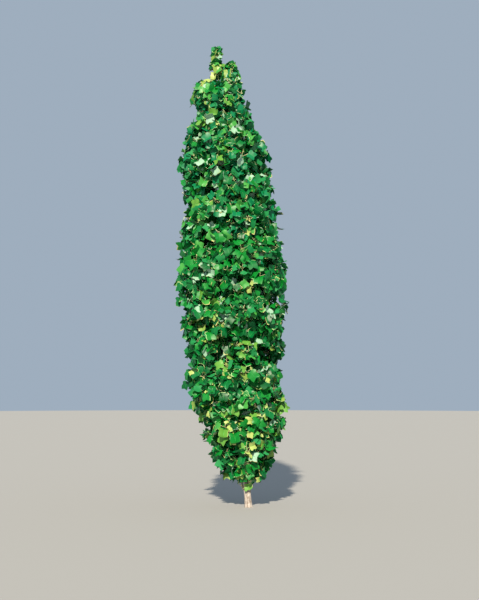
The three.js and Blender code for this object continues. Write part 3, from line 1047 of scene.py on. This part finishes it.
def bladePoints(leaves, places):
    # each leaf folded along its rib, cupped, drooping to its tip, with a rippled rim
    rng = np.random.default_rng(leaf["seed"] + 2)
    count = len(leaves["length"])
    fold, droop, cup = [rng.uniform(*leaf[name], (count, 1)) for name in ("fold", "droop", "cup")]
    curl = leaf["ripple"] * rng.uniform(-1, 1, (count, 1))
    across, along = places[:, 0][None], places[:, 1][None]
    lift = fold * np.abs(across) - cup * across**2 - droop * along**2
    ripple = leaf["ripple"] * rng.normal(size=(count, rimSize))
    thick = leaf["thickness"] / leaf["length"]
    lift[:, :rimSize] += ripple + curl
    lift[:, rimSize : 2 * rimSize] += leaf["innerRipple"] * ripple + thick
    lift[:, 2 * rimSize : -1] += thick
    lift[:, -1] -= leaf["belly"]
    side = np.cross(leaves["blade"], leaves["normal"])
    offsets = (
        across[..., None] * side[:, None]
        + along[..., None] * leaves["blade"][:, None]
        + lift[..., None] * leaves["normal"][:, None]
    )
    return leaves["base"][:, None] + offsets * leaves["length"][:, None, None]


toneRule = {
    # from which share of the height low down, high up and the tips begin, and over how much
    "zones": [(0.55, -0.35), (0.5, 0.3), (0.88, 0.08)],
    # painted light: greens are dealt lighter a little low down, more high up and most at the tips
    "lighter": (0.04, 0.12, 0.5),  # in each of the three
    "stray": 0.16,  # of a leaf from its spray
    "from": [0.16, 0.45, 0.92],  # where deep, middle and bright begin
    # painted sky light in the shade: this share of deep and middle leaves high up turns bluer
    "cool": 0.6,  # share of deep and middle leaves high up
    # shares that change to these: everywhere, low down and at the tips besides
    "fresh": (0.16, 0.64, 0.55),
    "olive": (0.008, 0.06, 0.16),
    "young": (0.01, 0.1, 0.16),
    "youngest": (0.08, 0.34, 0),
    "small": 0.95,  # of the full length, what may be young
}


def toneOfLeaves(leaves):
    # Each spray has its depth of green, partly painted shade and sun, and its leaves stray from it.
    # Painted light makes them lighter up the crown and at the tips, and painted sky light makes them
    # cooler high up; down the crown they are fresher and yellower.
    rng = np.random.default_rng(leaf["seed"] + 1)
    names = list(leafTones)
    count = len(leaves["length"])
    height = leaves["base"][:, 2] / crown["height"]
    zones = [np.clip((height - start) / over, 0, 1) for start, over in toneRule["zones"]]
    low, high, tip = zones
    draw = rng.random(len(sprays))[leaves["spray"]] + toneRule["stray"] * rng.normal(size=count)
    # painted light: the draw rises in each zone, so the greens come out lighter there
    for lighter, zone in zip(toneRule["lighter"], zones):
        draw = draw + lighter * zone
    # the shaded and bright ends are partly painted shade and painted sun on whole sprays
    tone = np.array(["shaded", "deep", "middle", "bright"])[np.digitize(draw, toneRule["from"])]

    def share(name):
        everywhere, lowDown, atTips = toneRule[name]
        return everywhere + lowDown * low + atTips * tip

    def changed(chosen, part, name):
        return np.where(chosen & (rng.random(count) < part), name, tone)

    # painted sky light in the shade: bluer greens high up, but not at the tips
    tone = changed((tone == "deep") | (tone == "middle"), toneRule["cool"] * high * (1 - tip), "cool")
    tone = changed(tone == "bright", share("fresh"), "fresh")
    tone = changed(tone != "shaded", share("olive"), "olive")
    small = leaves["length"] < toneRule["small"] * leaf["length"]
    tone = changed(small, share("young"), "young")
    tone = changed(leaves["last"], share("youngest"), "young")
    return np.array([names.index(t) for t in tone])


leaves = placeLeaves()
places, upperFaces, kinds, lowerFaces = leafTemplate()
leafPoints = bladePoints(leaves, places)
tones = toneOfLeaves(leaves)


def marginsOf(count):
    # which faces of each leaf's margin are plain, pale or gold
    rng = np.random.default_rng(leaf["seed"] + 3)
    kind = rng.choice(3, count, p=leaf["marginColours"])
    start, run = rng.integers(0, rimSize, count), rng.integers(*leaf["marginRun"], count)
    along = (np.repeat(np.arange(rimSize), 2)[None] - start[:, None]) % rimSize
    return np.where(along < run[:, None], kind[:, None], 0)


margins = marginsOf(len(tones))
print("leaves:", len(tones), "by tone", np.bincount(tones, minlength=len(leafTones)).tolist())


def leafPiece(name, chosen):
    # the upper side and the underside share the rim's points
    materials = leafMaterials + [undersideMaterial, bloomMaterial, ribMaterial, paleMargin, goldMargin]
    underside, bloom, rib, pale, gold = len(leafMaterials) + np.arange(5)
    points = leafPoints[chosen]
    faces = copies(np.concatenate([upperFaces, lowerFaces]), len(points), points.shape[1])
    flipped = leaves["flipped"][chosen]
    flesh = np.where(flipped, bloom, tones[chosen])[:, None]
    # the pale stretches of rim are partly painted highlight, the gold ones a real turning tint
    edge = np.choose(margins[chosen], [flesh, pale, gold])
    within = np.where(kinds[kinds > 0] == 2, rib, flesh)
    # unturned leaves get that deeper underside green, painted shade and light shining through the blade
    below = np.repeat(np.where(flipped, tones[chosen], underside)[:, None], len(lowerFaces), axis=1)
    slots = np.concatenate([edge, within, below], axis=1)
    return makePiece(name, points.reshape(-1, 3), faces, materials, slots.ravel(), sharpAngle=35)


def stalkPiece(name, chosen):
    seat, base = leaves["place"][chosen], leaves["base"][chosen]
    length = leaves["length"][chosen][:, None]
    outward, down = leaf["stalkBow"]
    bend = 0.5 * (seat + base) + leaves["stalk"][chosen] * outward * length - down * length * up
    inBlade = base + leaf["stalkEnd"] * length * leaves["blade"][chosen]
    paths = np.stack([seat, bezier(seat, bend, base, 0.5), inBlade], axis=1)
    thick = 1 + leaf["leaderStalks"] * (leaves["owner"][chosen] >= firstLeader)
    radii = leaf["stalkRadius"] * np.array(leaf["stalkTaper"]) * thick[:, None]
    stalks = tubes(paths, radii, sides=3, facing=leaves["normal"][chosen])
    return makePiece(name, *stalks, [stalkGreen])


# the leaves in levels of the crown, so that no piece is too heavy
levels = {
    "foot": (0, 1.3),
    "lower": (1.3, 2.1),
    "low_middle": (2.1, 2.9),
    "middle": (2.9, 3.7),
    "upper": (3.7, 4.7),
    "top": (4.7, 7),
}


def nodesBetween(low, high):
    return [f"foliage_{m['name']}" for m in masses if low <= m["middle"][2] < high]


pieces = []
for level, (low, high) in levels.items():
    owned = np.array([low <= m["middle"][2] < high for m in masses])
    chosen = owned[leaves["owner"]]
    blades = leafPiece(f"leaves_{level}", chosen)
    stalks = stalkPiece(f"leaf_stalks_{level}", chosen)
    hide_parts(*nodesBetween(low, high))
    pieces += [blades, stalks]
    print(level, "leaves:", int(chosen.sum()))


# What rides on the trunk's body, and what each piece stands for

wood = [trunk, boughs, woodPiece, shootPiece]
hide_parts("trunk")
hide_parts(*[f"bough_{m['name']}" for m in masses if m["bough"]])
for piece in wood + pieces:
    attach(piece, "root")

bpy.ops.mesh.primitive_circle_add(vertices=96, radius=60, fill_type="NGON", location=(0, 0, -0.001))
floor = bpy.context.object
floor.name = "floor"
floor.data.materials.append(floorMaterial("studio_paper"))

print("faces in all:", sum(len(piece.data.polygons) for piece in wood + pieces))
